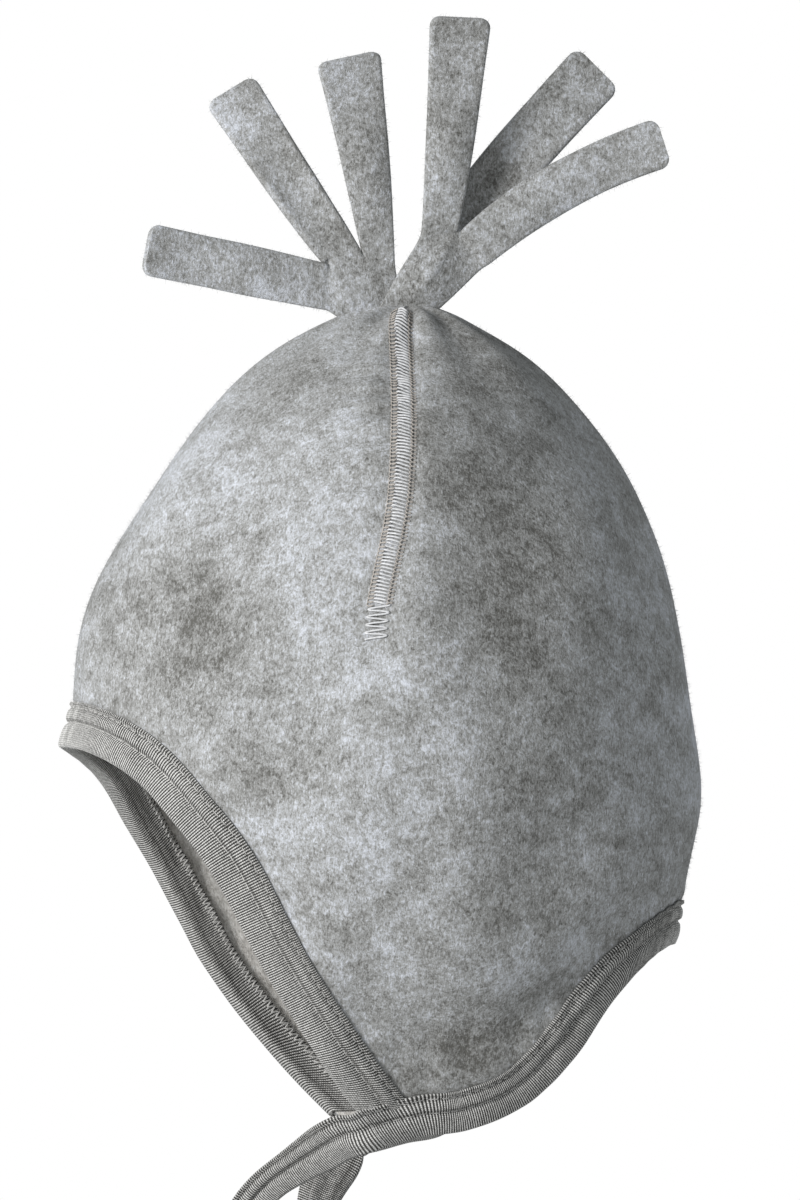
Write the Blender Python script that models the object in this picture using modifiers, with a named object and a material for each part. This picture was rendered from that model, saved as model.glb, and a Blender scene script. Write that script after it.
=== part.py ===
"""A baby hat with ear flaps: a pointed fleece crown with a sewn dart on each side, a knitted binding
round the face and another round the neck, two ties that run on from the neck binding, and a fringe of
six fleece strips at the point. +Z is up, the face is towards -Y and the wearer's left is +X. The origin
is the inside of the crown's point, where the head holds the hat."""

import math

import bmesh
import bpy
from mathutils import Vector

# Cloth, in metres
FLEECE = 0.0024  # thickness of the fleece
KNIT = 0.0010  # thickness of one layer of the knitted binding
GAP = 0.0006  # clearance between pieces that touch
HEM_FOLD = 0.0008  # how far the binding's fold hangs below the gap under the cloth

# The crown's level sections are ovals that grow from the point down to the widest level
HALF_LENGTH = 0.0837
HALF_WIDTH = 0.0605
DOME = 0.1382
DOME_POWER = 2.41
SWELL_POWER = 0.636
POINT_SET_BACK = 0.0030  # how far behind the origin the crown's point is
LEAN = 0.0073  # how far the ovals' centre moves towards the face below it
LEAN_POWER = 1.5
CREASE = 0.30  # how sharply the front and back meet along the darts, near the point
BACK_TUCK = 0.0092  # the nape turns in this much over TUCK_SPAN, below TUCK_START
TUCK_START = 0.125
TUCK_SPAN = 0.065
FLAP_PINCH = 0.36  # share of the width lost at the flaps' tips, which the ties draw together
PINCH_START = 0.120
PINCH_SPAN = 0.100

# The cloth's lower edge: how far it lies below the point, at bearings round the head from the face
CORNER = 85.5  # bearing of each flap's front corner
FACE_EDGE = [
    (0, 0.1152),
    (20.5, 0.1172),
    (35, 0.1240),
    (46, 0.1370),
    (53, 0.1490),
    (63, 0.1737),
    (75, 0.1992),
    (CORNER, 0.2190),
]
NECK_EDGE = [
    (CORNER, 0.2190),
    (93, 0.2169),
    (102, 0.2152),
    (114, 0.2088),
    (124, 0.1978),
    (137, 0.1800),
    (149, 0.1705),
    (163, 0.1660),
    (180, 0.1650),
]

# Bindings
BAND = 0.0110  # width of the binding on the outside
BAND_INSIDE = 0.0095
END_ROOM = 0.0012  # how far above the neck binding the face binding ends
END_STEP = 0.05  # degrees from a flap's corner to the neck binding's end
END_FADE = 14.0  # degrees over which a binding's stations turn to the way its end is cut
END_RUN = 6.0  # degrees over which the face edge's direction at the corner is measured

# Darts
DART_WIDTH = 0.0056
DART_TOP_WIDTH = 0.0039
DART_HEIGHT = 0.0013
DART_START = 0.0022
DART_END = 0.0890
DART_BEARING = 83.6
DART_TOP_TURN = 13.0  # the point is set back, so the darts start ahead of it
DART_TOP_SPAN = 0.014
DART_BEND = 2.8
DART_BEND_START = 0.050

# Ties
TIE_ROOT_WIDTH = 0.0124
TIE_WIDTH = 0.0100
TIE_ROOM = 0.0013  # from the corner of the cloth to a tie
TIE_LEAD = 0.0016  # how far a tie runs straight on before its route
TIE_ROOT_THICKNESS = 0.0042
TIE_THICKNESS = 0.0030
TIE_TURN = 0.5  # share of a tie's length over which it turns from the flap's face to the side
TIE_OUTLINE = [  # shares of the tie's width and thickness
    (-0.5, -0.3),
    (-0.5, 0.3),
    (-0.3, 0.5),
    (0.3, 0.5),
    (0.5, 0.3),
    (0.5, -0.3),
    (0.3, -0.5),
    (-0.3, -0.5),
]
# Where each tie's middle runs after it leaves its flap, as (x, y, z), chosen by hand
TIE_LEFT_ROUTE = [
    (0.0352, -0.0208, -0.2165),
    (0.0300, -0.0252, -0.2196),
    (0.0235, -0.0310, -0.2237),
    (0.0180, -0.0365, -0.2279),
    (0.0135, -0.0406, -0.2326),
    (0.0105, -0.0435, -0.2384),
    (0.0090, -0.0450, -0.2449),
    (0.0085, -0.0458, -0.2517),
]
TIE_RIGHT_ROUTE = [
    (-0.0362, -0.0190, -0.2190),
    (-0.0332, -0.0192, -0.2244),
    (-0.0300, -0.0188, -0.2300),
    (-0.0270, -0.0188, -0.2355),
    (-0.0246, -0.0196, -0.2412),
    (-0.0230, -0.0206, -0.2474),
    (-0.0221, -0.0212, -0.2538),
    (-0.0217, -0.0214, -0.2602),
    (-0.0215, -0.0216, -0.2664),
]

# Fringe: two tabs on the point, each cut into three strips. Places are (y, z), from the face backwards.
# A tab's foot is two places on the crown, and its cuts start at the places between its four corners.
# Each strip bends through one place to its tip, and its depth is how far it leans to the left.
STRIP_ROUND = 0.0026  # radius of a strip's corners
STRIP_START = 0.35  # how soon a strip has its plain width, as a power
STRIP_ROOT = 1 / 6  # share of a strip's length over which it grows out of its tab
FRONT_FRINGE = {
    "foot": [(-0.0118, -0.0002), (-0.0006, 0.0036)],
    "corners": [(-0.0186, 0.0004), (-0.0192, 0.0127), (-0.0090, 0.0148), (-0.0012, 0.0128)],
    "bends": [(-0.0440, 0.0115), (-0.0288, 0.0356), (-0.0092, 0.0420)],
    "tips": [(-0.0674, 0.0160), (-0.0429, 0.0582), (-0.0140, 0.0664)],
    "widths": [(0.0124, 0.0138), (0.0110, 0.0152), (0.0086, 0.0176)],
    "depths": [(0.0004, 0.0060), (0.0, -0.0090), (0.0, 0.0060)],
}
BACK_FRINGE = {
    "foot": [(0.0010, 0.0036), (0.0112, 0.0026)],
    "corners": [(0.0061, 0.0200), (0.0156, 0.0218), (0.0164, 0.0208), (0.0225, 0.0116)],
    "bends": [(0.0134, 0.0480), (0.0340, 0.0425), (0.0425, 0.0328)],
    "tips": [(0.0150, 0.0768), (0.0545, 0.0644), (0.0700, 0.0448)],
    "widths": [(0.0096, 0.0166), (0.0060, 0.0160), (0.0122, 0.0134)],
    "depths": [(0.0012, 0.0090), (-0.0030, -0.0130), (0.0012, 0.0050)],
}

# How finely each piece is divided
FACE_COLUMNS = 17
FACE_SPACING = 0.75  # below 1, the columns are closer near the flaps
NECK_COLUMNS = 16
CROWN_ROWS = 20
CROWN_SPACING = 1.45  # above 1, the rows are closer near the point
DART_STATIONS = 18
DART_SPACING = 1.4  # above 1, the stations are closer near the point
TIE_STATIONS = 26
TAB_ROWS = 3
STRIP_ROWS = 11
STRIP_COLUMNS = 3
CORNER_ROWS = [0.0, 0.3, 1.0]  # the last rows, in shares of the corners' radius
SHARP = 40  # degrees between faces that meet at a hard edge
BEARING_STEP = 0.4  # small steps for measuring directions: degrees, metres and shares of a length
DROP_STEP = 0.0004
TIE_STEP = 0.01
STRIP_STEP = 0.02


def smoothstep(share):
    share = min(max(share, 0.0), 1.0)
    return share * share * (3 - 2 * share)


def smooth_through(knots, at):
    """The height of a smooth curve through the knots, with level ends where the hat is symmetric."""
    slopes = []
    for i, (x, y) in enumerate(knots):
        if x in (0, 180):
            slopes.append(0.0)
        else:
            before, after = knots[max(i - 1, 0)], knots[min(i + 1, len(knots) - 1)]
            slopes.append((after[1] - before[1]) / (after[0] - before[0]))
    for i in range(len(knots) - 1):
        (x0, y0), (x1, y1) = knots[i], knots[i + 1]
        if at <= x1 or i == len(knots) - 2:
            step = x1 - x0
            t = (at - x0) / step
            return (
                (2 * t**3 - 3 * t**2 + 1) * y0
                + (t**3 - 2 * t**2 + t) * step * slopes[i]
                + (3 * t**2 - 2 * t**3) * y1
                + (t**3 - t**2) * step * slopes[i + 1]
            )


def edge_drop(bearing):
    """How far the cloth's lower edge lies below the point of the crown, at a bearing from -180 to 180."""
    bearing = abs(bearing)
    return smooth_through(FACE_EDGE if bearing <= CORNER else NECK_EDGE, bearing)


def crown_point(bearing, drop):
    """A point on the crown's outer face. Bearings are degrees from the face to the wearer's left."""
    turn = math.radians(bearing)
    full = (1 - (1 - min(drop / DOME, 1.0)) ** DOME_POWER) ** SWELL_POWER
    crease = 1 + CREASE * (1 - smoothstep(drop / DART_END))
    length = HALF_LENGTH * full
    if math.cos(turn) < 0:
        length -= BACK_TUCK * smoothstep((drop - TUCK_START) / TUCK_SPAN)
    width = HALF_WIDTH * full * (1 - FLAP_PINCH * max(drop - PINCH_START, 0.0) ** 2 / PINCH_SPAN**2)
    along = math.copysign(abs(math.cos(turn)) ** crease, math.cos(turn))
    centre = POINT_SET_BACK - LEAN * full**LEAN_POWER
    return Vector((width * math.sin(turn), centre - length * along, FLEECE - drop))


def crown_axes(bearing, drop):
    """How the crown's outer face runs with the bearing and with the drop, and its outward normal."""
    round_it = crown_point(bearing + BEARING_STEP, drop) - crown_point(bearing - BEARING_STEP, drop)
    down = crown_point(bearing, drop + DROP_STEP) - crown_point(bearing, drop - DROP_STEP)
    round_it, down = round_it / (2 * BEARING_STEP), down / (2 * DROP_STEP)
    return round_it, down, down.cross(round_it).normalized()


def moved_on_crown(bearing, drop, shift):
    """The bearing and drop of the place that a short shift along the crown's face leads to."""
    round_it, down, _ = crown_axes(bearing, drop)
    a, b, c = round_it.dot(round_it), round_it.dot(down), down.dot(down)
    p, q = shift.dot(round_it), shift.dot(down)
    scale = a * c - b * b
    return bearing + (p * c - q * b) / scale, drop + (q * a - p * b) / scale


def off_crown(bearing, drop, out):
    """The place that far out from the crown's outer face, or inside it where out is negative."""
    return crown_point(bearing, drop) + crown_axes(bearing, drop)[2] * out


def new_object(name, mesh, material, collection):
    obj = bpy.data.objects.new(name, mesh)
    obj.data.materials.append(material)
    collection.objects.link(obj)
    return obj


def new_material(name, colour, roughness):
    material = bpy.data.materials.new(name)
    material.use_nodes = True
    shader = material.node_tree.nodes["Principled BSDF"]
    shader.inputs["Base Color"].default_value = (*colour, 1)
    shader.inputs["Roughness"].default_value = roughness
    return material


def grid_spot(vertex, columns, rows):
    """The column and row of a corner of a new grid primitive."""
    return round((vertex.co.x + 1) / 2 * columns), round((vertex.co.y + 1) / 2 * rows)


def shaped_grid(name, columns, rows, place):
    """A grid primitive whose corners are moved to place(column, row), with those that meet made one."""
    shape = bmesh.new()
    bmesh.ops.create_grid(shape, x_segments=columns, y_segments=rows, size=1)
    for vertex in shape.verts:
        vertex.co = place(*grid_spot(vertex, columns, rows))
    bmesh.ops.remove_doubles(shape, verts=shape.verts, dist=1e-6)
    mesh = bpy.data.meshes.new(name)
    shape.to_mesh(mesh)
    shape.free()
    mesh.shade_smooth()
    return mesh


def solidify(obj, thickness, offset):
    wall = obj.modifiers.new("wall", "SOLIDIFY")
    wall.thickness = thickness
    wall.offset = offset
    wall.use_even_offset = True


def sweep(name, stations, corners, place):
    """A closed bar: a ring of corners at each station, put by place(station, corner), with capped ends."""
    mesh = shaped_grid(name, stations, corners, lambda s, c: place(s, c % corners))
    shape = bmesh.new()
    shape.from_mesh(mesh)
    bmesh.ops.holes_fill(shape, edges=[e for e in shape.edges if e.is_boundary], sides=corners + 1)
    bmesh.ops.recalc_face_normals(shape, faces=shape.faces)
    shape.to_mesh(mesh)
    shape.free()
    mesh.set_sharp_from_angle(angle=math.radians(SHARP))
    return mesh


def column_bearing(column):
    """The bearing of a crown column, counted from the face: a column lies on each flap's corner."""
    if column < 0:
        return -column_bearing(-column)
    if column <= FACE_COLUMNS:
        return CORNER * (column / FACE_COLUMNS) ** FACE_SPACING
    return CORNER + (180 - CORNER) * (column - FACE_COLUMNS) / NECK_COLUMNS


def make_crown(fleece, collection):
    half = FACE_COLUMNS + NECK_COLUMNS

    def place(column, row):
        bearing = column_bearing(column - half)
        return crown_point(bearing, edge_drop(bearing) * (1 - row / CROWN_ROWS) ** CROWN_SPACING)

    crown = new_object("crown", shaped_grid("crown", 2 * half, CROWN_ROWS, place), fleece, collection)
    solidify(crown, FLEECE, -1)


def band_section(width, width_inside):
    """The binding folded over the cloth's edge: (how far out of the crown's face, how far up the cloth)."""
    lining = -(FLEECE + GAP)
    return [
        (GAP, width),
        (GAP, width / 2),
        (GAP, -GAP),
        (lining, -GAP),
        (lining, width_inside / 2),
        (lining, width_inside),
        (lining - KNIT, width_inside),
        (lining - KNIT, width_inside / 2),
        (lining - KNIT, 0.0),
        (lining, -GAP - HEM_FOLD),
        (GAP, -GAP - HEM_FOLD),
        (GAP + KNIT, 0.0),
        (GAP + KNIT, width / 2),
        (GAP + KNIT, width),
    ]


def edge_frame(bearing):
    """At the cloth's edge: its direction with the bearing, and the direction up the cloth, square to it."""
    low, high = bearing - BEARING_STEP, bearing + BEARING_STEP
    for limit in (-CORNER, CORNER):
        if low < limit < high:
            low, high = (limit, high) if bearing >= limit else (low, limit)
    along = (crown_point(high, edge_drop(high)) - crown_point(low, edge_drop(low))).normalized()
    normal = crown_axes(bearing, edge_drop(bearing))[2]
    up = along.cross(normal).normalized()
    return along, up if up.z > 0 else -up


def band_place(bearing, out, up_cloth, slant):
    """A point of a binding. A slant moves it along the edge as it goes up the cloth."""
    drop = edge_drop(bearing)
    along, up = edge_frame(bearing)
    return off_crown(*moved_on_crown(bearing, drop, (up + along * slant) * up_cloth), out)


def slant_towards(bearing, direction):
    """The slant that makes a binding's station run in a direction that lies on the crown's face."""
    along, up = edge_frame(bearing)
    return along.dot(direction) / up.dot(direction)


def face_edge_direction(side):
    """How the cloth's edge runs up from a flap's corner, on the face's side."""
    low = crown_point(side * CORNER, edge_drop(CORNER))
    near = CORNER - END_RUN
    return (crown_point(side * near, edge_drop(near)) - low).normalized()


def make_face_binding(knit, collection):
    """Round the face, from flap to flap, its ends cut level where the neck binding crosses them."""
    end = CORNER
    while edge_drop(end) > FACE_EDGE[-1][1] - BAND - END_ROOM:
        end -= END_STEP
    bearings = [column_bearing(column) for column in range(-FACE_COLUMNS, FACE_COLUMNS + 1)]
    bearings = [-end] + [bearing for bearing in bearings if abs(bearing) < end - 1] + [end]
    section = band_section(BAND, BAND_INSIDE)

    def place(station, corner):
        bearing = bearings[station]
        turned = smoothstep((abs(bearing) - end) / END_FADE + 1)
        slant = 0.0
        if turned > 0:
            level = crown_axes(bearing, edge_drop(bearing))[0].normalized()
            slant = turned * slant_towards(bearing, level)
        return band_place(bearing, *section[corner], slant)

    mesh = sweep("face_binding", len(bearings) - 1, len(section), place)
    new_object("face_binding", mesh, knit, collection)


def make_neck_binding(knit, collection):
    """Round the neck, from one flap's front corner to the other's, its ends cut along the face edge."""
    section = band_section(BAND, BAND_INSIDE)
    start = CORNER + END_STEP

    def place(station, corner):
        side = 1 if station <= NECK_COLUMNS else -1
        column = FACE_COLUMNS + min(station, 2 * NECK_COLUMNS - station)
        bearing = max(column_bearing(column), start)
        turned = smoothstep((start - bearing) / END_FADE + 1)
        slant = turned * slant_towards(side * start, face_edge_direction(side)) if turned > 0 else 0.0
        return band_place(side * bearing, *section[corner], slant)

    mesh = sweep("neck_binding", 2 * NECK_COLUMNS, len(section), place)
    new_object("neck_binding", mesh, knit, collection)


def dart_bearing(drop):
    """The darts run down just ahead of the sides and bend towards the face."""
    forward = DART_TOP_TURN * math.exp(-drop / DART_TOP_SPAN)
    bend = DART_BEND * smoothstep((drop - DART_BEND_START) / (DART_END - DART_BEND_START))
    return DART_BEARING - forward - bend


def make_dart(name, side, thread, collection):
    """The flat-locked seam that closes a dart: a low ridge of thread on the crown."""
    low, top = DART_WIDTH / 2, DART_TOP_WIDTH / 2
    section = [(-low, 0.0), (0.0, 0.0), (low, 0.0), (top, DART_HEIGHT), (-top, DART_HEIGHT)]

    def place(station, corner):
        drop = DART_START + (DART_END - DART_START) * (station / DART_STATIONS) ** DART_SPACING
        bearing = side * dart_bearing(drop)
        across, out = section[corner]
        level = crown_axes(bearing, drop)[0].normalized()
        return off_crown(*moved_on_crown(bearing, drop, level * across), GAP + out)

    new_object(name, sweep(name, DART_STATIONS, len(section), place), thread, collection)


def through(points, share):
    """A point on the curve that passes through three points."""
    a, b, c = points
    control = 2 * b - (a + c) / 2
    return a * (1 - share) ** 2 + control * 2 * share * (1 - share) + c * share**2


def route_point(route, share):
    """A point on the smooth line through a tie's route."""
    at = share * (len(route) - 1)
    i = min(int(at), len(route) - 2)
    t = at - i
    p0, p1, p2, p3 = route[max(i - 1, 0)], route[i], route[i + 1], route[min(i + 2, len(route) - 1)]
    bend, twist = 2 * p0 - 5 * p1 + 4 * p2 - p3, 3 * p1 - p0 - 3 * p2 + p3
    return p1 + ((p2 - p0) * t + bend * t**2 + twist * t**3) / 2


def make_tie(name, side, route, knit, collection):
    """A flat tie that runs on from the neck binding's end, then hangs with its face to the side."""
    along_end = face_edge_direction(side)
    normal = crown_axes(side * CORNER, edge_drop(CORNER))[2]
    ahead = side * normal.cross(along_end).normalized()
    corner_place = off_crown(side * CORNER, edge_drop(CORNER), -FLEECE / 2)
    start = corner_place + along_end * (BAND - 2 * KNIT) / 2 + ahead * TIE_ROOM
    line = [start, start + ahead * TIE_LEAD] + [Vector(place) for place in route]

    def place(station, corner):
        share = station / TIE_STATIONS
        here = route_point(line, share)
        after, before = min(share + TIE_STEP, 1), max(share - TIE_STEP, 0)
        forward = (route_point(line, after) - route_point(line, before)).normalized()
        narrow = smoothstep(share / TIE_TURN)
        face = normal.lerp(Vector((side, 0, 0)), narrow)
        across = forward.cross(face).normalized()
        out = across.cross(forward).normalized()
        width = TIE_ROOT_WIDTH + (TIE_WIDTH - TIE_ROOT_WIDTH) * narrow
        thickness = TIE_ROOT_THICKNESS + (TIE_THICKNESS - TIE_ROOT_THICKNESS) * narrow
        a, b = TIE_OUTLINE[corner]
        return here + across * a * width + out * b * thickness

    new_object(name, sweep(name, TIE_STATIONS, len(TIE_OUTLINE), place), knit, collection)


def strip_place(fringe, strip, across, along):
    """A point of a strip's middle sheet: across it from 0 to 1, and along it from its root to its tip."""
    left, right = (Vector((0, *place)) for place in fringe["corners"][strip : strip + 2])
    bend, tip = (Vector((0, *fringe[key][strip])) for key in ("bends", "tips"))
    line = [(left + right) / 2, bend, tip]
    here = through(line, along)
    ahead = through(line, min(along + STRIP_STEP, 1.0)) - through(line, max(along - STRIP_STEP, 0.0))
    side = Vector((0, ahead.z, -ahead.y)).normalized()
    root_width, tip_width = fringe["widths"][strip]
    width = root_width + (tip_width - root_width) * along
    from_tip = (1 - along) * (tip - line[0]).length
    if from_tip < STRIP_ROUND:
        width -= 2 * (STRIP_ROUND - math.sqrt(max(STRIP_ROUND**2 - (STRIP_ROUND - from_tip) ** 2, 0)))
    sheet = here + side * (across - 0.5) * width
    share = min(along / STRIP_ROOT, 1.0) ** STRIP_START
    near, far = fringe["depths"][strip]
    lean = Vector((share * near + along * (far - near), 0, 0))
    return left.lerp(right, across).lerp(sheet, share) + lean


def fringe_place(fringe, strip, column, row):
    """A point of the fringe's middle sheet: the tab's rows come first, then the strip's."""
    across = column / STRIP_COLUMNS - strip
    if row <= TAB_ROWS:
        foot = [Vector((0, *place)) for place in fringe["foot"]]
        low = foot[0].lerp(foot[1], column / (3 * STRIP_COLUMNS))
        return low.lerp(strip_place(fringe, strip, across, 0.0), row / TAB_ROWS)
    corner = STRIP_ROUND / (Vector(fringe["tips"][strip]) - Vector(fringe["corners"][strip])).length
    from_tip = TAB_ROWS + STRIP_ROWS - row
    if from_tip < len(CORNER_ROWS):
        return strip_place(fringe, strip, across, 1 - CORNER_ROWS[from_tip] * corner)
    plain_rows = STRIP_ROWS - len(CORNER_ROWS) + 1
    return strip_place(fringe, strip, across, (1 - corner) * (row - TAB_ROWS) / plain_rows)


def make_fringe(name, fringe, fleece, collection):
    """A tab of fleece on the crown's point, cut into three strips that fan out from the point."""
    columns, rows = 3 * STRIP_COLUMNS, TAB_ROWS + STRIP_ROWS
    shape = bmesh.new()
    bmesh.ops.create_grid(shape, x_segments=columns, y_segments=rows, size=1)
    spot = {vertex: grid_spot(vertex, columns, rows) for vertex in shape.verts}
    cuts = [
        edge
        for edge in shape.edges
        if {spot[v][0] for v in edge.verts} in ({STRIP_COLUMNS}, {2 * STRIP_COLUMNS})
        and min(spot[v][1] for v in edge.verts) >= TAB_ROWS
    ]
    bmesh.ops.split_edges(shape, edges=cuts)
    moved = {}
    for vertex in shape.verts:
        column, row = grid_spot(vertex, columns, rows)
        strips = {int((face.calc_center_median().x + 1) / 2 * 3) for face in vertex.link_faces}
        places = [fringe_place(fringe, strip, column, row) for strip in sorted(strips)]
        moved[vertex] = sum(places, Vector()) / len(places)
    for vertex, place in moved.items():
        vertex.co = place
    bmesh.ops.recalc_face_normals(shape, faces=shape.faces)
    mesh = bpy.data.meshes.new(name)
    shape.to_mesh(mesh)
    shape.free()
    mesh.shade_smooth()
    solidify(new_object(name, mesh, fleece, collection), FLEECE, 0)


def main():
    for obj in list(bpy.data.objects):
        bpy.data.objects.remove(obj)
    collection = bpy.data.collections.new("baby_hat")
    bpy.context.scene.collection.children.link(collection)
    fleece = new_material("fleece", (0.42, 0.42, 0.43), 0.95)
    knit = new_material("knit", (0.30, 0.295, 0.285), 0.85)
    thread = new_material("thread", (0.40, 0.39, 0.39), 0.7)
    make_crown(fleece, collection)
    make_face_binding(knit, collection)
    make_neck_binding(knit, collection)
    make_dart("dart_seam_left", 1, thread, collection)
    make_dart("dart_seam_right", -1, thread, collection)
    make_tie("tie_left", 1, TIE_LEFT_ROUTE, knit, collection)
    make_tie("tie_right", -1, TIE_RIGHT_ROUTE, knit, collection)
    make_fringe("fringe_front", FRONT_FRINGE, fleece, collection)
    make_fringe("fringe_back", BACK_FRINGE, fleece, collection)


main()
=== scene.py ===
import math

import bpy
import numpy as np
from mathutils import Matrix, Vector


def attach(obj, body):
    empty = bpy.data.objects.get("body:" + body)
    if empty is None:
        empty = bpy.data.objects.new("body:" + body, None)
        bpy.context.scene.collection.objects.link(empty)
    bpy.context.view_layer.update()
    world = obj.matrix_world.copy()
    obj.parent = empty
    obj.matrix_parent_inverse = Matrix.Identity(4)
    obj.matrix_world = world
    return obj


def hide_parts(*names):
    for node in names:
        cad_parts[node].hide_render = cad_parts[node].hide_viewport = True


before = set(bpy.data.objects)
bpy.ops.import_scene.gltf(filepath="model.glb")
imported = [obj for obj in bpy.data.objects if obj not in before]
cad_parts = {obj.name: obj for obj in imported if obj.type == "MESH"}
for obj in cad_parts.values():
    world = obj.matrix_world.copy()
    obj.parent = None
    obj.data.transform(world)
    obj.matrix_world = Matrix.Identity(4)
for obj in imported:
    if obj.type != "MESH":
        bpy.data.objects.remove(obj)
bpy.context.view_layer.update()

# Camera
camera = {
    "azimuth": 79.5,  # degrees round from the face, towards the wearer's left
    "distance": 3.2,
    "middle": -0.0754,
    "aside": 0.0008,  # how far right of the crown's point the picture's middle is
    "shownHeight": 0.3144,  # metres of the hat that the picture takes in, top to bottom
    "sensor": 36.0,
}


def viewAxes():
    # The way to the picture's right, and back to the camera
    turn = math.radians(camera["azimuth"])
    return Vector((math.cos(turn), math.sin(turn), 0)), Vector((math.sin(turn), -math.cos(turn), 0))


def placeCamera():
    right, back = viewAxes()
    aim = Vector((0, 0, camera["middle"])) + right * camera["aside"]
    data = bpy.data.cameras.new("camera")
    data.sensor_width = camera["sensor"]
    data.lens = camera["sensor"] * camera["distance"] / camera["shownHeight"]
    eye = bpy.data.objects.new("camera", data)
    eye.location = aim + back * camera["distance"]
    eye.rotation_euler = back.to_track_quat("Z", "Y").to_euler()
    bpy.context.scene.collection.objects.link(eye)
    bpy.context.scene.camera = eye


placeCamera()
print("camera placed")

# The hat's form
# The same curves as the solids': level ovals that grow from the point, and the cloth's lower edge.
form = {
    "fleece": 0.0024,
    "halfLength": 0.0837,
    "halfWidth": 0.0605,
    "dome": 0.1382,
    "domePower": 2.41,
    "swellPower": 0.636,
    "pointSetBack": 0.0030,
    "lean": 0.0073,
    "leanPower": 1.5,
    "crease": 0.30,
    "backTuck": 0.0092,
    "tuckStart": 0.125,
    "tuckSpan": 0.065,
    "flapPinch": 0.36,
    "pinchStart": 0.120,
    "pinchSpan": 0.100,
    "corner": 85.5,
    "faceEdge": [(0, 0.1152), (20.5, 0.1172), (35, 0.1240), (46, 0.1370), (53, 0.1490), (63, 0.1737),
                 (75, 0.1992), (85.5, 0.2190)],
    "neckEdge": [(85.5, 0.2190), (93, 0.2169), (102, 0.2152), (114, 0.2088), (124, 0.1978), (137, 0.1800),
                 (149, 0.1705), (163, 0.1660), (180, 0.1650)],
    "dartEnd": 0.0890,
    "dartBearing": 83.6,
    "dartTopTurn": 13.0,
    "dartTopSpan": 0.014,
    "dartBend": 2.8,
    "dartBendStart": 0.050,
}
# How the cloth strays from the plain form, in metres and degrees; a span is its start and its run
ease = {
    "seed": 11,
    "waves": 9,
    "wave": 0.00040,
    "longest": 0.085,
    "shortest": 0.030,
    "dartDepth": 0.0013,
    "dartReach": 0.0044,
    "dartLead": 0.006,  # how far above its end a dart starts to fade
    "dartFade": 0.022,
    "pucker": 0.00042,
    "puckerPitch": 0.0072,
    "puckerFrom": 0.005,
    "puckerReach": 0.0080,
    "puckerLag": 1.3,  # of the puckers behind a dart on those in front of it, in radians
    "wobble": 2.0,
    "wobblePace": 190,
    "fold": 0.0082,  # a soft fold down each side, from the dart to the flap
    "foldReach": 0.032,
    "foldRound": 0.004,
    "foldTop": 84.0,
    "foldTurn": 12.0,
    "foldTurnSpan": (0.055, 0.070),
    "foldGrowSpan": (0.003, 0.04),
    "foldLoss": 0.75,
    "foldLossSpan": (0.13, 0.06),
    "neckSpan": (74, 22),  # where the edge goes over from the face to the neck
    "edgeDip": 0.0030,  # the cloth dips just above the neck binding
    "edgeDipAt": 0.0210,
    "edgeDipReach": 0.0120,
    "edgeDipLoss": 0.8,
    "edgeDipLossSpan": (125, 35),
    "drawnIn": 0.0013,  # how far the neck binding draws in the cloth under it
    "drawnFace": 0.45,  # the face binding's share of that
    "drawnAt": 0.0130,
    "drawnRun": 0.0050,
    "flare": 0.0022,  # how far the face's edge turns out over the brow
    "flareRun": 0.0140,
    "flareEnd": 68.0,
    "flareFade": 36.0,
    "edgePucker": 0.00022,
    "edgePuckers": 45,  # a whole number all round, so that they meet at the back
    "edgePuckerAt": 0.016,
    "edgeReach": 0.0150,
    "edgeDrift": 1.7,
    "edgeDrifts": 12,
    "gather": 0.0007,
    "gatherFolds": 11,
    "gatherTurn": 0.6,
    "gatherAt": 0.006,
    "gatherReach": 0.020,
    "gatherStart": 0.004,
    "swayNear": 0.0016,  # how far the left flap's tip rides up, and the right one's hangs down
    "swayFar": -0.0045,
    "swaySpan": (0.165, 0.055),
    "swingFar": 0.0100,  # how far back the right flap's tip is drawn
    "swingSpan": (0.168, 0.052),
    "flapBearing": 88,
    "flapReach": 34,
    "flapEndSpan": (135, 30),
    "swayBack": -0.0024,  # how far the back's edge hangs down
    "swayBackSpan": (132, 35),
    "swayBackDropSpan": (0.11, 0.05),
}
# The steps over which the cloth's directions are taken
probe = {"turn": 0.4, "drop": 0.0004}


def smoothStep(share):
    share = np.clip(share, 0.0, 1.0)
    return share * share * (3 - 2 * share)


def ramp(value, start, run):
    return smoothStep((value - start) / run)


def bell(value, middle, reach):
    return np.exp(-(((value - middle) / reach) ** 2))


def runAlong(points):
    return np.concatenate([[0], np.cumsum(np.linalg.norm(np.diff(points, axis=0), axis=1))])


def curveThrough(knots, at):
    # A smooth curve through the knots, level at the middle of the face and of the back
    xs = np.array([k[0] for k in knots], float)
    ys = np.array([k[1] for k in knots], float)
    slopes = np.zeros(len(xs))
    for i, x in enumerate(xs):
        if x not in (0.0, 180.0):
            a, b = max(i - 1, 0), min(i + 1, len(xs) - 1)
            slopes[i] = (ys[b] - ys[a]) / (xs[b] - xs[a])
    i = np.clip(np.searchsorted(xs, at, side="right") - 1, 0, len(xs) - 2)
    step = xs[i + 1] - xs[i]
    t = (at - xs[i]) / step
    return ((2 * t**3 - 3 * t**2 + 1) * ys[i] + (t**3 - 2 * t**2 + t) * step * slopes[i]
            + (3 * t**2 - 2 * t**3) * ys[i + 1] + (t**3 - t**2) * step * slopes[i + 1])


def edgeDrop(bearing):
    bearing = np.abs(np.asarray(bearing, float))
    return np.where(bearing <= form["corner"], curveThrough(form["faceEdge"], bearing),
                    curveThrough(form["neckEdge"], bearing))


def fullness(drop):
    # The ovals' share of their full size
    return (1 - (1 - np.clip(drop / form["dome"], 0, 1)) ** form["domePower"]) ** form["swellPower"]


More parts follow.
